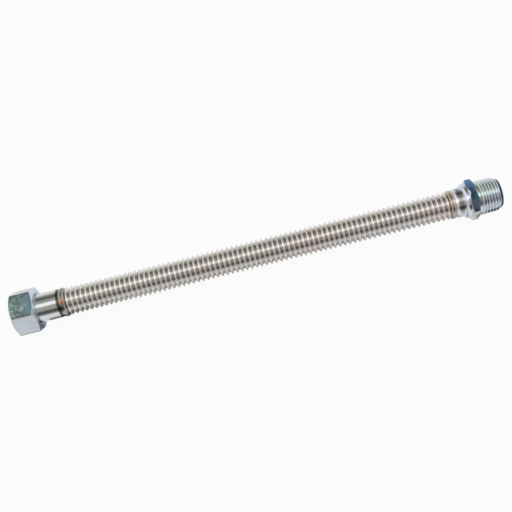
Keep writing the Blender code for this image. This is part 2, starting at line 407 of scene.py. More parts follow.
def tube_finish():
    """Bare metal, its film changing by ring and along the tube, with painted shade in the roots.
    """
    material, tree, shader = new_finish("annealed_stainless")
    along = parts(tree, object_point(tree))["X"]
    cloud = noise(tree, object_point(tree, TUBE_CLOUD_STRETCH), TUBE_CLOUD_SCALE, detail=2)
    each_ring = noise(
        tree, object_point(tree, TUBE_EACH_RING_STRETCH), TUBE_EACH_RING_SCALE, detail=1
    )
    uneven = spread(tree, halfway(tree, each_ring, cloud), *TUBE_TINT_SPREAD)
    leaning = calc(tree, "MULTIPLY_ADD", along, TUBE_TINT_LEAN, uneven)
    reach = radius_from_axis(tree)
    root_shade_end_radius = TUBE_ROOT_RADIUS + TUBE_ROOT_SHADE_SHARE * TUBE_RING_DEPTH
    out_of_root_shade = share_of(tree, reach, TUBE_ROOT_RADIUS, root_shade_end_radius)
    tint = mix(tree, out_of_root_shade, TUBE_ROOT_SHADE_COLOUR, ramp(tree, leaning, TUBE_TINTS))
    tree.links.new(tint, shader.inputs["Base Color"])
    stain = noise(tree, object_point(tree), TUBE_STAIN_SCALE)
    tree.links.new(spread(tree, stain, *TUBE_ROUGHNESS), shader.inputs["Roughness"])
    drawn = noise(tree, object_point(tree, TUBE_DRAWN_STRETCH), TUBE_DRAWN_SCALE)
    relief(tree, shader, drawn, TUBE_DRAWN_DEPTH)
    return material


def ring_tree(sizes):
    """Geometry nodes that sweep the tube's wall, folded into rings, round its centreline.

    The wall's section is one closed line: the outer side from the first end to the last,
    and the inner side back. Its points come from their number in the line.
    """
    tree = bpy.data.node_groups.new("tube_rings", "GeometryNodeTree")
    tree.is_modifier = True
    tree.interface.new_socket(name="Tube", in_out="OUTPUT", socket_type="NodeSocketGeometry")
    for name, (kind, _) in sizes.items():
        tree.interface.new_socket(name=name, in_out="INPUT", socket_type=kind)
    size = add(tree, "NodeGroupInput").outputs

    number = add(tree, "GeometryNodeInputIndex").outputs[0]
    outer_points = calc(tree, "MULTIPLY_ADD", size["Rings"], size["Outer Steps"], 3)
    inner_points = calc(tree, "MULTIPLY_ADD", size["Rings"], size["Inner Steps"], 3)
    points = calc(tree, "ADD", outer_points, inner_points)
    is_inner = calc(tree, "GREATER_THAN", number, calc(tree, "SUBTRACT", outer_points, 0.5))
    from_last = calc(tree, "SUBTRACT", calc(tree, "SUBTRACT", points, 1), number)
    turn_back = calc(tree, "SUBTRACT", from_last, number)
    place = calc(tree, "MULTIPLY_ADD", is_inner, turn_back, number)
    fewer = calc(tree, "SUBTRACT", size["Inner Steps"], size["Outer Steps"])
    steps = calc(tree, "MULTIPLY_ADD", is_inner, fewer, size["Outer Steps"])
    last_step = calc(tree, "MULTIPLY", size["Rings"], steps)
    raw_step = calc(tree, "SUBTRACT", place, 1)
    step = calc(tree, "MINIMUM", calc(tree, "MAXIMUM", raw_step, 0), last_step)
    rings_along = calc(tree, "DIVIDE", step, steps)
    past_end = calc(tree, "SUBTRACT", raw_step, step)
    cuff = calc(tree, "MULTIPLY", past_end, size["Cuff"])
    root = calc(tree, "ADD", size["First Root"], cuff)
    station = calc(tree, "MULTIPLY_ADD", rings_along, size["Pitch"], root)
    swing = calc(tree, "COSINE", calc(tree, "MULTIPLY", rings_along, 2 * math.pi))
    hump = calc(tree, "MULTIPLY_ADD", swing, -0.5, 0.5)
    narrow = calc(tree, "POWER", calc(tree, "MAXIMUM", hump, 0), size["Narrowness"])
    wave = calc(tree, "MULTIPLY", narrow, size["Depth"])
    height = calc(tree, "SUBTRACT", wave, calc(tree, "MULTIPLY", is_inner, size["Wall"]))
    on_section = add(tree, "ShaderNodeCombineXYZ", {"X": height, "Y": station}).outputs[0]

    line = add(tree, "GeometryNodeCurvePrimitiveCircle", {"Resolution": points, "Radius": 1})
    section = add(
        tree, "GeometryNodeSetPosition", {"Geometry": line.outputs[0], "Position": on_section}
    )
    circle = add(
        tree,
        "GeometryNodeCurvePrimitiveCircle",
        {"Resolution": size["Sides"], "Radius": size["Root Radius"]},
    )
    upright = add(tree, "GeometryNodeSetCurveNormal", {"Curve": circle.outputs[0]}, mode="Z_UP")
    swept = add(
        tree,
        "GeometryNodeCurveToMesh",
        {"Curve": upright.outputs[0], "Profile Curve": section.outputs[0]},
    )
    lift = add(tree, "ShaderNodeCombineXYZ", {"Z": size["Axis Height"]}).outputs[0]
    laid = add(
        tree,
        "GeometryNodeTransform",
        {"Geometry": swept.outputs[0], "Translation": lift, "Rotation": (0, -math.pi / 2, 0)},
    )
    smooth = add(tree, "GeometryNodeSetShadeSmooth", {"Geometry": laid.outputs[0]})
    real = add(tree, "GeometryNodeRealizeInstances", {"Geometry": smooth.outputs[0]})
    dressed = add(
        tree,
        "GeometryNodeSetMaterial",
        {"Geometry": real.outputs[0], "Material": size["Material"]},
    )
    add(tree, "NodeGroupOutput", {0: dressed.outputs[0]})
    return tree


def make_tube():
    """The rings, made by geometry nodes and then kept as a plain mesh."""
    sizes = {
        "First Root": ("NodeSocketFloat", tube_low.x + TUBE_CUFF),
        "Cuff": ("NodeSocketFloat", TUBE_CUFF),
        "Rings": ("NodeSocketInt", TUBE_RINGS),
        "Pitch": ("NodeSocketFloat", TUBE_PITCH),
        "Root Radius": ("NodeSocketFloat", TUBE_ROOT_RADIUS),
        "Depth": ("NodeSocketFloat", TUBE_RING_DEPTH),
        "Narrowness": ("NodeSocketFloat", TUBE_RING_NARROWNESS),
        "Wall": ("NodeSocketFloat", TUBE_WALL_ACROSS),
        "Outer Steps": ("NodeSocketInt", TUBE_OUTER_STEPS),
        "Inner Steps": ("NodeSocketInt", TUBE_INNER_STEPS),
        "Sides": ("NodeSocketInt", TUBE_SIDES),
        "Axis Height": ("NodeSocketFloat", AXIS_HEIGHT),
        "Material": ("NodeSocketMaterial", tube_finish()),
    }
    tree = ring_tree(sizes)
    tube = bpy.data.objects.new("bellows_tube", bpy.data.meshes.new("bellows_tube"))
    bpy.context.scene.collection.objects.link(tube)
    rings = tube.modifiers.new("Rings", "NODES")
    rings.node_group = tree
    for socket in tree.interface.items_tree:
        if socket.in_out == "INPUT":
            rings[socket.identifier] = sizes[socket.name][1]
    graph = bpy.context.evaluated_depsgraph_get()
    mesh = bpy.data.meshes.new_from_object(tube.evaluated_get(graph))
    tube.modifiers.clear()
    tube.data = mesh
    return tube


tube = make_tube()
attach(tube, "hose")
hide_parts("corrugated_tube")


# The nut tail: a bright sleeve turned from stainless bar, flanged inside the nut.
# Its skin carries the lathe's fine rings, and the weld has left its end straw. Painted shade
# darkens its end where it meets the weld bead, most at one place.
TAIL_BORE_RADIUS = 6.4 * MM
TAIL_RADIUS = 8.75 * MM
TAIL_FLANGE_THICKNESS = 1.6 * MM
TAIL_FLANGE_RIM = 1.1475 * MM
TAIL_TAPER_LENGTH = 1.3 * MM
TAIL_TAPER_DEPTH = 0.6 * MM
TAIL_TAPER_ROUNDING = 0.5 * MM
TAIL_END_ROUNDING = 0.15 * MM
TAIL_COLUMNS = 128
EDGE_ROUNDING = 0.2 * MM
MOST_ROUNDING_SHARE = 0.45
SHARP_FROM = math.radians(40)
TAIL_COLOUR = (0.745, 0.755, 0.755, 1.0)
TAIL_STRAW = (0.60, 0.55, 0.42, 1.0)
TAIL_STRAW_REACH = 3.5 * MM
TAIL_STRAW_MOST = 0.8
# Painted shade: the tail's end is coloured nearly black where it meets the weld bead.
TAIL_END_SHADE = (0.070, 0.072, 0.045, 1.0)
TAIL_END_SHADE_REACH = 1.6 * MM
TAIL_END_SHADE_BLEND = 0.7 * MM
TAIL_END_SHADE_MOST = 0.95
TAIL_END_SHADE_WANDER = 0.8 * MM
TAIL_CLOUD_SCALE = 260
TAIL_LATHE_SCALE = 3000
TAIL_LATHE_STRETCH = (1, 0.03, 0.03)
TAIL_LATHE_DEPTH = 0.004 * MM
TAIL_WEAR_SCALE = 320
TAIL_ROUGHNESS = (0.09, 0.2)
# Painted shade: a near-black cloud round one place where the tail meets the tube and its bead.
JOINT_SHADE = (0.030, 0.028, 0.022, 1.0)
JOINT_SHADE_ANGLE = math.radians(135)
JOINT_SHADE_PAST_TAIL = 0.2 * MM
JOINT_SHADE_REACH = 4.6 * MM
JOINT_SHADE_CORE_SHARE = 0.45
JOINT_SHADE_STRETCH = (1.9, 1, 1)
JOINT_SHADE_CLOUD_SCALE = 300
JOINT_SHADE_WANDER = 2.0 * MM
tail_low, tail_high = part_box("nut_tail")


def softened(corners, steps=4):
    """The corners (x, radius, rounding) of a closed outline, each drawn as a small curve."""
    points = []
    for index, (x, radius, rounding) in enumerate(corners):
        corner = Vector((x, radius))
        if rounding == 0:
            points.append(corner)
            continue
        back = Vector(corners[index - 1][:2]) - corner
        ahead = Vector(corners[(index + 1) % len(corners)][:2]) - corner
        start = corner + back.normalized() * min(rounding, MOST_ROUNDING_SHARE * back.length)
        end = corner + ahead.normalized() * min(rounding, MOST_ROUNDING_SHARE * ahead.length)
        for step in range(steps + 1):
            t = step / steps
            points.append(start * (1 - t) ** 2 + corner * 2 * t * (1 - t) + end * t ** 2)
    return points


def even_angles(columns):
    """Columns spread evenly round the centreline."""
    return [2 * math.pi * column / columns for column in range(columns)]


def place_round(angle, x, radius):
    """A point round the hose's centreline, at an angle right-handed about +X from 0 at +Y."""
    return x, radius * math.cos(angle), AXIS_HEIGHT + radius * math.sin(angle)


def turned(name, angles, section, material, marks=None):
    """A closed mesh round the hose's centreline, from its outline at each angle.

    section(angle) gives (x, radius) points, out along the outside towards +X and back along
    the bore. marks has, by name, functions of (angle, x, radius) that are kept in the mesh
    for its material, from 0 to 1.
    """
    outlines = [section(angle) for angle in angles]
    rows = len(outlines[0])
    places = []
    for angle, outline in zip(angles, outlines):
        places += [(angle, x, radius) for x, radius in outline]
    faces = []
    for column in range(len(angles)):
        here = column * rows
        there = (column + 1) % len(angles) * rows
        for row in range(rows):
            beyond = (row + 1) % rows
            faces.append((here + row, there + row, there + beyond, here + beyond))
    mesh = bpy.data.meshes.new(name)
    mesh.from_pydata([place_round(*place) for place in places], [], faces)
    mesh.materials.append(material)
    mesh.shade_smooth()
    mesh.set_sharp_from_angle(angle=SHARP_FROM)
    for mark, amount in (marks or {}).items():
        values = [amount(*place) for place in places]
        mesh.attributes.new(mark, "FLOAT", "POINT").data.foreach_set("value", values)
    piece = bpy.data.objects.new(name, mesh)
    bpy.context.scene.collection.objects.link(piece)
    return piece


def joint_shaded(tree, colour):
    """A colour with painted shade on it, round one place where the tail meets the tube."""
    place = place_round(JOINT_SHADE_ANGLE, tail_high.x + JOINT_SHADE_PAST_TAIL, TAIL_RADIUS)
    away = length_of(tree, object_point(tree, JOINT_SHADE_STRETCH, [-number for number in place]))
    cloud = noise(tree, object_point(tree), JOINT_SHADE_CLOUD_SCALE, detail=2)
    uneven = calc(tree, "MULTIPLY_ADD", cloud, JOINT_SHADE_WANDER, away)
    left = share_of(tree, uneven, JOINT_SHADE_CORE_SHARE * JOINT_SHADE_REACH, JOINT_SHADE_REACH)
    return mix(tree, left, JOINT_SHADE, colour)


def tail_finish():
    """Bright turned metal that goes straw towards the weld, with painted shade at its end."""
    material, tree, shader = new_finish("turned_stainless")
    x = parts(tree, object_point(tree))["X"]
    heat = share_of(tree, x, tail_high.x - TAIL_STRAW_REACH, tail_high.x, TAIL_STRAW_MOST)
    skin = mix(tree, heat, TAIL_COLOUR, TAIL_STRAW)
    cloud = noise(tree, object_point(tree), TAIL_CLOUD_SCALE, detail=2)
    nearer = calc(tree, "MULTIPLY_ADD", cloud, TAIL_END_SHADE_WANDER, x)
    end_shade_from = tail_high.x - TAIL_END_SHADE_REACH
    end_shade = share_of(tree, nearer, end_shade_from, end_shade_from + TAIL_END_SHADE_BLEND, TAIL_END_SHADE_MOST)
    skin = joint_shaded(tree, mix(tree, end_shade, skin, TAIL_END_SHADE))
    tree.links.new(skin, shader.inputs["Base Color"])
    lathe = noise(tree, object_point(tree, TAIL_LATHE_STRETCH), TAIL_LATHE_SCALE)
    wear = noise(tree, object_point(tree), TAIL_WEAR_SCALE)
    uneven = spread(tree, halfway(tree, wear, lathe), *TAIL_ROUGHNESS)
    tree.links.new(uneven, shader.inputs["Roughness"])
    relief(tree, shader, lathe, TAIL_LATHE_DEPTH)
    return material


def make_tail():
    """The sleeve with its flange in front and its taper behind."""
    flange_radius = TAIL_RADIUS + TAIL_FLANGE_RIM
    flange_back = tail_low.x + TAIL_FLANGE_THICKNESS
    outline = softened([
        (tail_low.x, flange_radius, EDGE_ROUNDING),
        (flange_back, flange_radius, EDGE_ROUNDING),
        (flange_back, TAIL_RADIUS, EDGE_ROUNDING),
        (tail_high.x - TAIL_TAPER_LENGTH, TAIL_RADIUS, TAIL_TAPER_ROUNDING),
        (tail_high.x, TAIL_RADIUS - TAIL_TAPER_DEPTH, TAIL_END_ROUNDING),
        (tail_high.x, TAIL_BORE_RADIUS, 0),
        (tail_low.x, TAIL_BORE_RADIUS, EDGE_ROUNDING),
    ])
    return turned("turned_tail", even_angles(TAIL_COLUMNS), lambda angle: outline, tail_finish())


tail = make_tail()
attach(tail, "hose")
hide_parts("nut_tail")


# The two weld beads, which close the tube's plain ends onto the tail and the male fitting.
# They are run round without filler, rippled, and tinted straw to dark brown by the heat.
BEAD_COLUMNS = 144
BEAD_STEPS = 14
BEAD_RIPPLES = 48
BEAD_RIPPLE_HEIGHT = 0.05 * MM
BEAD_RIPPLE_LEAN = 2.2
BEAD_CROWN = 0.35 * MM
BEAD_FALL = 1.0 * MM
BEAD_FALL_SHARE = 0.4
BEAD_SEAT = 0.3 * MM
BEAD_REACH = 0.28 * MM
BEAD_REACH_TO_TUBE = 0.75 * MM
BEAD_CLOUD_SCALE = 330
BEAD_ROUGHNESS = (0.16, 0.28)
BEAD_GRAIN_SCALE = 2200
BEAD_GRAIN_DEPTH = 0.015 * MM
NUT_BEAD_TINTS = (
    (0.30, (0.220, 0.210, 0.180)),
    (0.42, (0.380, 0.360, 0.310)),
    (0.54, (0.500, 0.470, 0.430)),
    (0.64, (0.420, 0.360, 0.330)),
    (0.75, (0.330, 0.300, 0.330)),
)
MALE_BEAD_TINTS = (
    (0.30, (0.300, 0.215, 0.140)),
    (0.45, (0.480, 0.380, 0.290)),
    (0.58, (0.600, 0.490, 0.420)),
    (0.72, (0.340, 0.240, 0.190)),
)
HOT_SPOT_COLOUR = (0.40, 0.150, 0.075, 1.0)
HOT_SPOT_ANGLE = math.radians(107)
HOT_SPOT_IN = 1.3 * MM
HOT_SPOT_REACH = 2.9 * MM
HOT_SPOT_CORE_SHARE = 0.25
HOT_SPOT_MOST = 0.95


def bead_finish(name, tints, spot=None):
    """Heat tints in clouds, with painted shade and an orange hot spot where there is one."""
    material, tree, shader = new_finish(name)
    cloud = noise(tree, object_point(tree), BEAD_CLOUD_SCALE)
    tint = ramp(tree, cloud, tints)
    if spot:
        away = length_of(tree, object_point(tree, moved=[-number for number in spot]))
        heat = add(tree, "ShaderNodeMapRange", {
            "Value": away, "From Min": HOT_SPOT_CORE_SHARE * HOT_SPOT_REACH,
            "From Max": HOT_SPOT_REACH, "To Min": HOT_SPOT_MOST, "To Max": 0.0,
        }).outputs[0]
        tint = mix(tree, heat, joint_shaded(tree, tint), HOT_SPOT_COLOUR)
    tree.links.new(tint, shader.inputs["Base Color"])
    tree.links.new(spread(tree, cloud, *BEAD_ROUGHNESS), shader.inputs["Roughness"])
    relief(tree, shader, noise(tree, object_point(tree), BEAD_GRAIN_SCALE), BEAD_GRAIN_DEPTH)
    return material


def make_bead(name, node, material):
    """A rippled ring with a rounded crown, which falls away onto the tube."""
    low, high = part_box(node)
    top = high.z - AXIS_HEIGHT
    tube_ahead = low.x < 0
    start = low.x - (BEAD_REACH if tube_ahead else BEAD_REACH_TO_TUBE)
    end = high.x + (BEAD_REACH_TO_TUBE if tube_ahead else BEAD_REACH)
    length = end - start
    seat = TUBE_ROOT_RADIUS + BEAD_SEAT

    def section(angle):
        points = []
        for step in range(BEAD_STEPS + 1):
            along = step / BEAD_STEPS
            bulge = math.sin(math.pi * along)
            phase = BEAD_RIPPLES * angle - BEAD_RIPPLE_LEAN * bulge
            ripple = BEAD_RIPPLE_HEIGHT * (0.5 + 0.5 * math.cos(phase)) * bulge
            to_tube = along if tube_ahead else 1 - along
            falling = max(0, to_tube - 1 + BEAD_FALL_SHARE) / BEAD_FALL_SHARE
            radius = top - BEAD_CROWN * (1 - bulge) - ripple - BEAD_FALL * falling ** 2
            points.append((start + along * length, radius))
        return points + [(end, seat), (start, seat)]

    bead = turned(name, even_angles(BEAD_COLUMNS), section, material)
    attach(bead, "hose")
    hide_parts(node)
    return bead


nut_bead_low, nut_bead_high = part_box("weld_ring_nut_end")
hot_spot = place_round(
    HOT_SPOT_ANGLE, nut_bead_low.x + HOT_SPOT_IN, nut_bead_high.z - AXIS_HEIGHT
)
make_bead(
    "tail_weld_bead", "weld_ring_nut_end", bead_finish("brown_weld", NUT_BEAD_TINTS, hot_spot)
)
male_bead = make_bead(
    "fitting_weld_bead", "weld_ring_male_end", bead_finish("straw_weld", MALE_BEAD_TINTS)
)


# The sealing washer: a flat ring of moulded black rubber, pressed into the nut by hand.
# It lies against the tail's flange, behind the nut's thread.
WASHER_COLUMNS = 96
WASHER_HOLE_RADIUS = 6.4 * MM
WASHER_RIM_ROUNDING = 0.25 * MM
WASHER_HOLE_ROUNDING = 0.15 * MM
WASHER_COLOUR = (0.022, 0.022, 0.023, 1.0)
WASHER_BLOOM = (0.040, 0.040, 0.041, 1.0)
WASHER_BLOOM_SCALE = 500
WASHER_ROUGHNESS = (0.55, 0.75)
WASHER_GRAIN_SCALE = 4000
WASHER_GRAIN_DEPTH = 0.015 * MM
washer_low, washer_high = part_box("sealing_washer")


def rubber_finish():
    """Dull black with a faint grey bloom."""
    material, tree, shader = new_finish("moulded_rubber", metallic=0.0)
    bloom = noise(tree, object_point(tree), WASHER_BLOOM_SCALE)
    tree.links.new(mix(tree, bloom, WASHER_COLOUR, WASHER_BLOOM), shader.inputs["Base Color"])
    tree.links.new(spread(tree, bloom, *WASHER_ROUGHNESS), shader.inputs["Roughness"])
    grain = noise(tree, object_point(tree), WASHER_GRAIN_SCALE)
    relief(tree, shader, grain, WASHER_GRAIN_DEPTH)
    return material


def make_washer():
    """A flat ring that fills the room that the solids give it."""
    outer = washer_high.z - AXIS_HEIGHT
    outline = softened([
        (washer_low.x, outer, WASHER_RIM_ROUNDING),
        (washer_high.x, outer, WASHER_RIM_ROUNDING),
        (washer_high.x, WASHER_HOLE_RADIUS, WASHER_HOLE_ROUNDING),
        (washer_low.x, WASHER_HOLE_RADIUS, WASHER_HOLE_ROUNDING),
    ])
    angles = even_angles(WASHER_COLUMNS)
    return turned("rubber_washer", angles, lambda angle: outline, rubber_finish())


washer = make_washer()
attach(washer, "nut")
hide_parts("sealing_washer")


# The swivel nut: 25.4 mm hexagon bar, drilled, chamfered and threaded 1/2 in, 14 to the inch.
# Its zinc plate is passivated, which leaves a mottled teal and blue film on some of the flats.
# The top flat, square to the view, has the most, partly as a painted dark reflection.
THREAD_PITCH = 25.4 * MM / 14
THREAD_DEPTH = 1.162 * MM
THREAD_STEPS = 12
NUT_THREAD_RADIUS = 10.4775 * MM
NUT_THREAD_LENGTH = 8.0 * MM
NUT_LIP = 2.2 * MM
NUT_LIP_RADIUS = 9.05 * MM
NUT_COUNTERSINK = 0.6 * MM
COUNTERSINK_SLOPE = 0.7
NUT_FACE_INSET = 0.5 * MM
NUT_FACE_ROUNDING = 0.15 * MM
FINE_ROUNDING = 0.1 * MM
HEXAGON_SIDE = math.pi / 3
HEXAGON_CHAMFER = math.radians(30)
HEXAGON_EDGE_ROUNDING = 0.45 * MM
HEXAGON_EDGE_SLACK = 1.01
HEXAGON_FLAT_STEPS = 18
# How much film each flat has, round from +Y. The top flat's full share is partly a painted dark
# reflection.
NUT_FLAT_FILM_AND_SHADE = (0.06, 1.0, 0.05, 0.5, 0.8, 0.3)
NUT_SOCKET_FILM = 0.4
NUT_EDGE_DARK_REFLECTION = 1.0
NUT_ROUGHNESS = (0.20, 0.34)
NUT_CLEAR = (
    (0.25, (0.60, 0.66, 0.70)),
    (0.45, (0.66, 0.71, 0.74)),
    (0.60, (0.72, 0.74, 0.78)),
    (0.80, (0.70, 0.76, 0.73)),
)
NUT_FILM = (
    (0.00, (0.055, 0.120, 0.105)),
    (0.30, (0.150, 0.255, 0.225)),
    (0.50, (0.270, 0.355, 0.345)),
    (0.70, (0.400, 0.510, 0.480)),
    (1.00, (0.760, 0.840, 0.820)),
)
NUT_FILM_SPREAD = (-0.15, 1.15)
NUT_PATCH_SCALE = 290
NUT_PATCH_SHARE = 0.3
NUT_SPECK_SCALE = 1300
NUT_SPECK_SHARE = 0.35
NUT_MOTTLE_SHARE = 0.35
NUT_BLUE = (0.220, 0.370, 0.480, 1.0)
NUT_BLUE_FROM_BACK = 4.7 * MM
NUT_BLUE_FULL_FROM_BACK = 0.2 * MM
NUT_BLUE_MOST = 0.72
NUT_BLUE_WANDER = 4.0 * MM
ZINC_CLOUD_SCALE = 110
ZINC_MOTTLE_SCALE = 620
ZINC_MOTTLE_ROUGHNESS = 0.6
ZINC_RELIEF_DEPTH = 0.012 * MM
FILM_DULLING = 0.1
# A painted dark reflection line along the hexagon's rounded edges.
EDGE_DARK_REFLECTION = (0.135, 0.120, 0.112, 1.0)
EDGE_DARK_REFLECTION_SHARE = (0.4, 0.9)
nut_low, nut_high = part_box("swivel_nut")


def rounded_edge_reach(apothem):
    """Half the angle that a hexagon's rounded edge takes, seen from the centreline."""
    half = HEXAGON_SIDE / 2
    centre = (apothem - HEXAGON_EDGE_ROUNDING) / math.cos(half)
    out = centre + HEXAGON_EDGE_ROUNDING * math.cos(half)
    return math.atan2(HEXAGON_EDGE_ROUNDING * math.sin(half), out)


def hexagon_angles(first_corner, apothem):
    """Columns for a hexagon: even on its flats, and five across each rounded edge."""
    edge = rounded_edge_reach(apothem)
    span = HEXAGON_SIDE - 2 * edge
    angles = []
    for side in range(6):
        corner = first_corner + side * HEXAGON_SIDE
        angles += [corner + edge * share for share in (-1, -0.5, 0, 0.5, 1)]
        for step in range(1, HEXAGON_FLAT_STEPS):
            angles.append(corner + edge + span * step / HEXAGON_FLAT_STEPS)
    return angles


def off_corner(angle, first_corner):
    """How far an angle is from a hexagon's nearest corner."""
    return (angle - first_corner + HEXAGON_SIDE / 2) % HEXAGON_SIDE - HEXAGON_SIDE / 2


def hexagon_radius(angle, first_corner, apothem):
    """How far out a hexagon with rounded edges reaches at an angle."""
    off = off_corner(angle, first_corner)
    if abs(off) > rounded_edge_reach(apothem):
        return apothem / math.cos(HEXAGON_SIDE / 2 - abs(off))
    centre = (apothem - HEXAGON_EDGE_ROUNDING) / math.cos(HEXAGON_SIDE / 2)
    across = centre * math.sin(off)
    return centre * math.cos(off) + math.sqrt(HEXAGON_EDGE_ROUNDING ** 2 - across ** 2)


def is_on_edge(angle, first_corner, apothem):
    """Whether an angle lies on one of a hexagon's rounded edges."""
    reach = HEXAGON_EDGE_SLACK * rounded_edge_reach(apothem)
    return abs(off_corner(angle, first_corner)) < reach


def chamfer_length(out, face_radius):
    """How long the chamfer at a hexagon's end is, where the hexagon reaches that far out."""
    return (out - face_radius) * math.tan(HEXAGON_CHAMFER)


def flat_film_and_shade(angle, first_corner, films):
    """The film on the flat at an angle, partly a painted dark reflection."""
    side = int((angle - first_corner) % (2 * math.pi) // HEXAGON_SIDE)
    return films[side % 6]


def groove(x, angle):
    """How deep a right-hand thread is cut at a place, as a share of its depth."""
    turns = x / THREAD_PITCH - angle / (2 * math.pi)
    return 0.5 - 0.5 * math.cos(2 * math.pi * turns)


def zinc_finish(name, clear, film_colour, roughness, stain_and_painted_dark=None):
    """Bright zinc plate, with a darker passivation film where the mesh says so.

    film_colour(tree, mottle) gives the film's colour. The last argument, where given, is a
    function of (tree, colour) that adds to the plate's colour: the fitting's weld heat tint and
    painted dark rim. The mesh's film share is partly a painted dark reflection, and its edge
    share paints a dark reflection line along the hexagon's edges.
    """
    material, tree, shader = new_finish(name)
    film_and_flat_shade = add(tree, "ShaderNodeAttribute", attribute_name="film").outputs["Fac"]
    edge = add(tree, "ShaderNodeAttribute", attribute_name="edge").outputs["Fac"]
    cloud = noise(tree, object_point(tree), ZINC_CLOUD_SCALE, detail=2)
    mottle = noise(
        tree, object_point(tree), ZINC_MOTTLE_SCALE, roughness=ZINC_MOTTLE_ROUGHNESS
    )
    plate = ramp(tree, cloud, clear)
    if stain_and_painted_dark:
        plate = stain_and_painted_dark(tree, plate)
    colour = mix(tree, film_and_flat_shade, plate, film_colour(tree, mottle))
    edge_darkened = calc(tree, "MULTIPLY", edge, spread(tree, cloud, *EDGE_DARK_REFLECTION_SHARE))
    tree.links.new(mix(tree, edge_darkened, colour, EDGE_DARK_REFLECTION), shader.inputs["Base Color"])
    dull = calc(tree, "MULTIPLY_ADD", film_and_flat_shade, FILM_DULLING, spread(tree, mottle, *roughness))
    tree.links.new(dull, shader.inputs["Roughness"])
    relief(tree, shader, mottle, ZINC_RELIEF_DEPTH)
    return material


def nut_film(tree, mottle):
    """Teal green in patches one to three millimetres across, and blue towards the hose."""
    patch = noise(tree, object_point(tree), NUT_PATCH_SCALE, detail=1)
    speck = noise(tree, object_point(tree), NUT_SPECK_SCALE, detail=1)
    fine = calc(
        tree, "MULTIPLY_ADD", speck, NUT_SPECK_SHARE,
        calc(tree, "MULTIPLY", mottle, NUT_MOTTLE_SHARE),
    )
    patchy = calc(tree, "MULTIPLY_ADD", patch, NUT_PATCH_SHARE, fine)
    green = ramp(tree, spread(tree, patchy, *NUT_FILM_SPREAD), NUT_FILM)
    x = parts(tree, object_point(tree))["X"]
    wandering = calc(tree, "MULTIPLY_ADD", patch, NUT_BLUE_WANDER, x)
    blue_from = nut_high.x - NUT_BLUE_FROM_BACK
    blue_full = nut_high.x - NUT_BLUE_FULL_FROM_BACK
    bluer = share_of(tree, wandering, blue_from, blue_full, NUT_BLUE_MOST)
    return mix(tree, bluer, green, NUT_BLUE)


def make_nut():
    """The hexagon's shell, its lip behind, and the thread in its socket, as one outline."""
    apothem = (nut_high.z - nut_low.z) / 2
    face_radius = apothem - NUT_FACE_INSET
    front, back = nut_low.x, nut_high.x
    lip_front = back - NUT_LIP
    thread_start = front + NUT_COUNTERSINK
    thread_steps = round(NUT_THREAD_LENGTH / THREAD_PITCH * THREAD_STEPS)

    def section(angle):
        out = hexagon_radius(angle, 0, apothem)
        chamfer = chamfer_length(out, face_radius)
        shell = softened([
            (front, face_radius, NUT_FACE_ROUNDING),
            (front + chamfer, out, EDGE_ROUNDING),
            (back - chamfer, out, EDGE_ROUNDING),
            (back, face_radius, NUT_FACE_ROUNDING),
            (back, NUT_LIP_RADIUS + NUT_COUNTERSINK, FINE_ROUNDING),
            (back - NUT_COUNTERSINK, NUT_LIP_RADIUS, FINE_ROUNDING),
            (lip_front, NUT_LIP_RADIUS, FINE_ROUNDING),
            (lip_front, NUT_THREAD_RADIUS, FINE_ROUNDING),
        ])
        thread = []
        for step in range(thread_steps, -1, -1):
            x = thread_start + step * THREAD_PITCH / THREAD_STEPS
            ending = min(1, (thread_steps - step) / THREAD_STEPS)
            ridge = THREAD_DEPTH * (1 - groove(x, angle)) * ending
            countersunk = NUT_THREAD_RADIUS - (x - thread_start) / COUNTERSINK_SLOPE
            thread.append((x, max(NUT_THREAD_RADIUS - ridge, countersunk)))
        return shell + thread + [(front, NUT_THREAD_RADIUS + NUT_COUNTERSINK)]

    def film(angle, x, radius):
        if radius < NUT_THREAD_RADIUS + NUT_COUNTERSINK:
            return NUT_SOCKET_FILM
        chamfer = chamfer_length(hexagon_radius(angle, 0, apothem), face_radius)
        is_flat = front + chamfer < x < back - chamfer
        return flat_film_and_shade(angle, 0, NUT_FLAT_FILM_AND_SHADE) if is_flat else 0.0

    def edge(angle, x, radius):
        chamfer = chamfer_length(hexagon_radius(angle, 0, apothem), face_radius)
        is_flat = radius > face_radius and front + chamfer <= x <= back - chamfer
        return NUT_EDGE_DARK_REFLECTION if is_flat and is_on_edge(angle, 0, apothem) else 0.0

    finish = zinc_finish("passivated_nut", NUT_CLEAR, nut_film, NUT_ROUGHNESS)
    angles = hexagon_angles(0, apothem)
    return turned("hexagon_nut", angles, section, finish, {"film": film, "edge": edge})


nut = make_nut()
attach(nut, "nut")
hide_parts("swivel_nut")


# The male fitting: one turned piece with a collar for the weld, a rounded step up to a hexagon,
# and a spigot with a 1/2 in taper thread. Its zinc plate is smoother than the nut's, with a
# film from blue to dark teal on the flats. The dark film on the flat square to the view is
# partly a painted dark reflection.
FITTING_BORE_RADIUS = 6.4 * MM
COLLAR_RADIUS = 8.9 * MM
COLLAR_LENGTH = 5.6 * MM
COLLAR_CHAMFER = 0.9 * MM
COLLAR_CHAMFER_LENGTH = 1.5 * MM
COLLAR_ROUNDING = 0.3 * MM
SHOULDER_LENGTH = 2.84 * MM
SHOULDER_STEPS = 8
FITTING_APOTHEM = 11.0 * MM
FITTING_FIRST_CORNER = math.radians(30)
FITTING_FACE_INSET = 0.05 * MM
NECK_RADIUS = 9.8975 * MM
NECK_LENGTH = 2.0 * MM
NECK_END = 0.58 * MM
SPIGOT_LENGTH = 12.8 * MM
SPIGOT_LEAD_LENGTH = 3.3 * MM
SPIGOT_LEAD_DEPTH = 1.7 * MM
MOUTH_ROUNDING = 0.3 * MM
THREAD_GAUGE_LENGTH = 8.2 * MM
THREAD_GAUGE_RADIUS = 10.4775 * MM
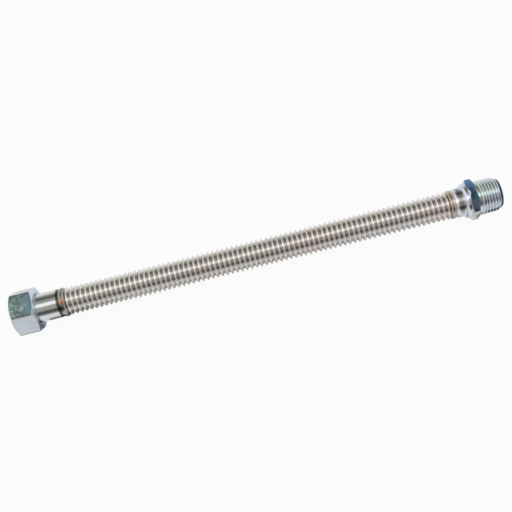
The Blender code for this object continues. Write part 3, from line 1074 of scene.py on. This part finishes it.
THREAD_TAPER = 1 / 32
# How much film each flat has, round from +Y. The full share on the flat square to the view is
# partly a painted dark reflection.
FITTING_FLAT_FILM_AND_SHADE = (0.95, 1.0, 0.05, 0.6, 0.3, 0.8)
SPIGOT_FILM = 0.2
FITTING_EDGE_DARK_REFLECTION = 0.5
FITTING_ROUGHNESS = (0.11, 0.19)
FITTING_CLEAR = (
    (0.25, (0.68, 0.74, 0.73)),
    (0.42, (0.74, 0.79, 0.75)),
    (0.55, (0.73, 0.75, 0.80)),
    (0.68, (0.76, 0.73, 0.79)),
    (0.85, (0.68, 0.74, 0.79)),
)
FITTING_FILM = (
    # millimetres from the centreline, towards the back, and the film's colour there
    (-11, (0.07, 0.12, 0.22)),
    (-8, (0.18, 0.17, 0.30)),
    (-5, (0.24, 0.20, 0.36)),
    (-3, (0.04, 0.15, 0.21)),
    (0, (0.02, 0.13, 0.20)),
    (2, (0.08, 0.09, 0.27)),
    (6, (0.12, 0.23, 0.60)),
    (11, (0.20, 0.38, 0.82)),
)
FITTING_FILM_WANDER = 9.0 * MM
# The film turns green along the hexagon, between these distances from its end at the shoulder.
FITTING_GREEN = (0.10, 0.31, 0.28, 1.0)
FITTING_GREEN_FROM = 2.1 * MM
FITTING_GREEN_FULL = 4.6 * MM
FITTING_GREEN_MOST = 0.7
# The heat's tint lies on the collar's upper side, at these distances from its weld.
COLLAR_HEAT_RISES = (1.7 * MM, 2.5 * MM)
COLLAR_HEAT_FALLS = (4.2 * MM, 5.2 * MM)
COLLAR_HEAT_HEIGHTS = (1.5 * MM, 4.5 * MM)
COLLAR_HEAT_MOST = 0.9
COLLAR_HEAT = (
    # millimetres from the centreline, towards the back, and the heat's colour there
    (-8, (0.35, 0.28, 0.24)),
    (-4, (0.42, 0.35, 0.28)),
    (1, (0.34, 0.38, 0.36)),
    (5, (0.25, 0.35, 0.37)),
)
# A painted dark reflection on the spigot's rim, over its last length.
SPIGOT_RIM_PAINTED_DARK = (0.020, 0.022, 0.034, 1.0)
SPIGOT_RIM_DARK_LENGTH = 1.8 * MM
SPIGOT_RIM_DARK_BLEND = 0.4 * MM
fitting_low, fitting_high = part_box("male_fitting")


def fitting_film(tree, mottle):
    """Blue behind, violet and dark teal in front, and greener towards the thread."""
    part = parts(tree, object_point(tree))
    wander = calc(tree, "MULTIPLY", calc(tree, "SUBTRACT", mottle, 0.5), FITTING_FILM_WANDER)
    blues = stops_across(tree, calc(tree, "ADD", part["Y"], wander), FITTING_FILM)
    hexagon_back = fitting_low.x + COLLAR_LENGTH + SHOULDER_LENGTH
    greener = share_of(
        tree, part["X"], hexagon_back + FITTING_GREEN_FROM, hexagon_back + FITTING_GREEN_FULL,
        FITTING_GREEN_MOST,
    )
    return mix(tree, greener, blues, FITTING_GREEN)


def heat_tint_and_painted_rim(tree, colour):
    """The weld's heat on the collar, and a painted dark reflection on the rim at the thread's end.
    """
    part = parts(tree, object_point(tree))
    rises = [fitting_low.x + along for along in COLLAR_HEAT_RISES]
    falls = [fitting_low.x + along for along in COLLAR_HEAT_FALLS]
    heights = [AXIS_HEIGHT + above for above in COLLAR_HEAT_HEIGHTS]
    risen = share_of(tree, part["X"], *rises, COLLAR_HEAT_MOST)
    fallen = share_of(tree, part["X"], *falls)
    upper = share_of(tree, part["Z"], *heights)
    along = calc(tree, "MULTIPLY", risen, calc(tree, "SUBTRACT", 1.0, fallen))
    heat = calc(tree, "MULTIPLY", along, upper)
    heated = mix(tree, heat, colour, stops_across(tree, part["Y"], COLLAR_HEAT))
    rim_from = fitting_high.x - SPIGOT_RIM_DARK_LENGTH
    rim = share_of(tree, part["X"], rim_from, rim_from + SPIGOT_RIM_DARK_BLEND)
    return mix(tree, rim, heated, SPIGOT_RIM_PAINTED_DARK)


def make_fitting():
    """The collar, the shoulder, the hexagon, the neck, the thread and the bore, as one outline."""
    start, end = fitting_low.x, fitting_high.x
    spigot_start = end - SPIGOT_LENGTH
    hexagon_front = spigot_start - NECK_LENGTH
    face_radius = FITTING_APOTHEM - FITTING_FACE_INSET
    thread_steps = round(SPIGOT_LENGTH / THREAD_PITCH * THREAD_STEPS)
    hexagon_back = start + COLLAR_LENGTH + SHOULDER_LENGTH
    shoulder = []
    for step in range(SHOULDER_STEPS + 1):
        turn = math.pi / 2 * step / SHOULDER_STEPS
        rise = (face_radius - COLLAR_RADIUS) * math.sin(turn)
        shoulder.append((hexagon_back - SHOULDER_LENGTH * math.cos(turn), COLLAR_RADIUS + rise, 0))

    def crest(x):
        """How far out the taper thread's crests reach at a place."""
        return THREAD_GAUGE_RADIUS + (end - x - THREAD_GAUGE_LENGTH) * THREAD_TAPER

    def section(angle):
        out = hexagon_radius(angle, FITTING_FIRST_CORNER, FITTING_APOTHEM)
        chamfer = chamfer_length(out, face_radius)
        shell = softened([
            (start, COLLAR_RADIUS - COLLAR_CHAMFER, EDGE_ROUNDING),
            (start + COLLAR_CHAMFER_LENGTH, COLLAR_RADIUS, COLLAR_ROUNDING),
            *shoulder,
            (hexagon_back + chamfer, out, EDGE_ROUNDING),
            (hexagon_front - chamfer, out, EDGE_ROUNDING),
            (hexagon_front, face_radius, FINE_ROUNDING),
            (hexagon_front, NECK_RADIUS, EDGE_ROUNDING),
        ])
        thread = []
        for step in range(thread_steps + 1):
            x = spigot_start + SPIGOT_LENGTH * step / thread_steps
            starting = min(1, step / THREAD_STEPS)
            cut = crest(x) - THREAD_DEPTH * groove(x, angle) * starting
            lead = crest(end) - SPIGOT_LEAD_DEPTH * (1 - (end - x) / SPIGOT_LEAD_LENGTH)
            thread.append((x, min(cut, lead)))
        mouth = softened([
            (end, crest(end) - SPIGOT_LEAD_DEPTH, 0),
            (end, FITTING_BORE_RADIUS, MOUTH_ROUNDING),
            (start, FITTING_BORE_RADIUS, 0),
        ])
        return shell + [(spigot_start - NECK_END, NECK_RADIUS)] + thread + mouth[1:]

    def film(angle, x, radius):
        out = hexagon_radius(angle, FITTING_FIRST_CORNER, FITTING_APOTHEM)
        chamfer = chamfer_length(out, face_radius)
        if hexagon_back + chamfer < x < hexagon_front - chamfer:
            return flat_film_and_shade(angle, FITTING_FIRST_CORNER, FITTING_FLAT_FILM_AND_SHADE)
        if x > spigot_start and radius > NECK_RADIUS - THREAD_DEPTH:
            return SPIGOT_FILM * min(1, (crest(x) - radius) / THREAD_DEPTH)
        return 0.0

    def edge(angle, x, radius):
        is_outside = hexagon_back < x < hexagon_front and radius > face_radius
        is_edge = is_on_edge(angle, FITTING_FIRST_CORNER, FITTING_APOTHEM)
        return FITTING_EDGE_DARK_REFLECTION if is_outside and is_edge else 0.0

    finish = zinc_finish(
        "passivated_fitting", FITTING_CLEAR, fitting_film, FITTING_ROUGHNESS, heat_tint_and_painted_rim
    )
    angles = hexagon_angles(FITTING_FIRST_CORNER, FITTING_APOTHEM)
    return turned("threaded_fitting", angles, section, finish, {"film": film, "edge": edge})


fitting = make_fitting()
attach(fitting, "hose")
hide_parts("male_fitting")


# The tube is the hose's free length, stiff enough to lie straight from end to end.
ROUTE_STEPS = 24
route = [
    (tube_low.x + TUBE_LENGTH * step / ROUTE_STEPS, 0, AXIS_HEIGHT)
    for step in range(ROUTE_STEPS + 1)
]
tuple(route[0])
